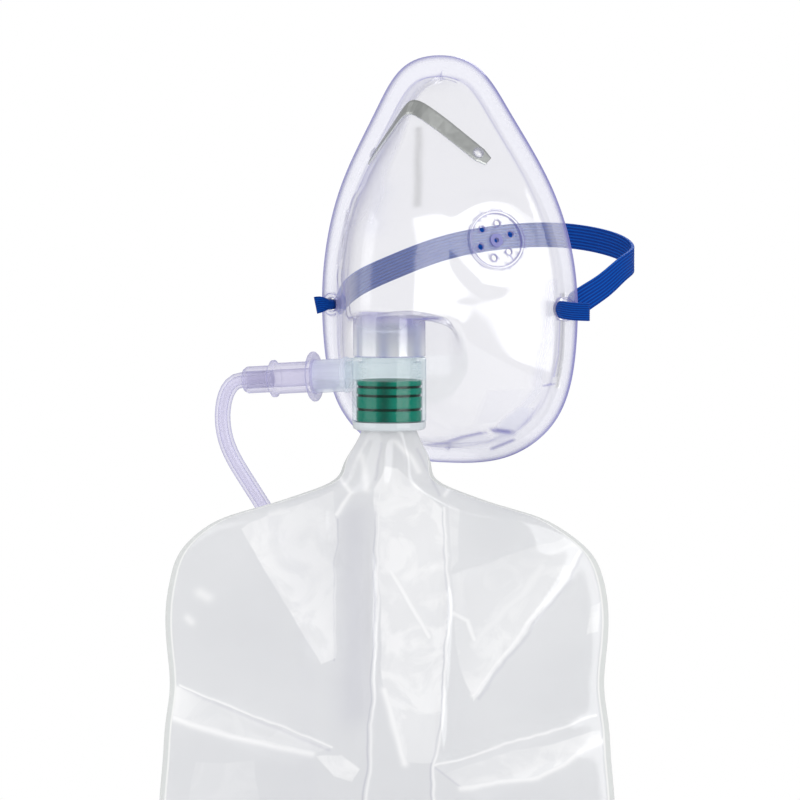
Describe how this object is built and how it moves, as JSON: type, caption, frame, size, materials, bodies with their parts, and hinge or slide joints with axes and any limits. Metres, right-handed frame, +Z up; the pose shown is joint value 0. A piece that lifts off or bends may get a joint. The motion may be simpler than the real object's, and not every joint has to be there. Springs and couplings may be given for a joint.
{
  "type": "oxygen face mask",
  "caption": "Clear face mask with nose clip and elastic strap, swivelling tee with side oxygen tube, green band and flat reservoir bag.",
  "frame": {"origin": "centre of the opening that seals on the face", "axes": "+Y out of the mask's opening, towards the face; +Z up, towards the nose; +X towards the wearer's left"},
  "size_m": [0.1309, 0.1323, 0.3771],
  "materials": {
    "clear_vinyl": "clear, glossy, faint lilac",
    "aluminium_strip": "satin",
    "blue_elastic": "ribbed elastic",
    "clear_plastic": "clear, glossy",
    "silicone": "satin",
    "green_plastic": "glossy",
    "white_plastic": "glossy",
    "clear_film": "clear film, glossy",
    "lilac_vinyl": "clear lilac, glossy",
    "white_tie": "matt"
  },
  "bodies": {
    "mask": {"mask_shell": "clear_vinyl", "nose_clip": "aluminium_strip", "elastic_strap": "blue_elastic"},
    "tee": {"tee_connector": "clear_plastic", "valve_flap": "silicone", "green_band": "green_plastic", "bag_retaining_ring": "white_plastic", "reservoir_bag": "clear_film", "tube_adaptor": "lilac_vinyl", "oxygen_tube": "lilac_vinyl", "oxygen_tube_coil": "lilac_vinyl", "coil_tie": "white_tie", "tube_end_connector": "lilac_vinyl"}
  },
  "joints": [
    {"name": "tee_swivel", "type": "hinge", "parent": "mask", "child": "tee", "pos_m": [0, -0.0366, -0.03], "axis": [0, 0, 1], "range_deg": [-25, 171]}
  ]
}
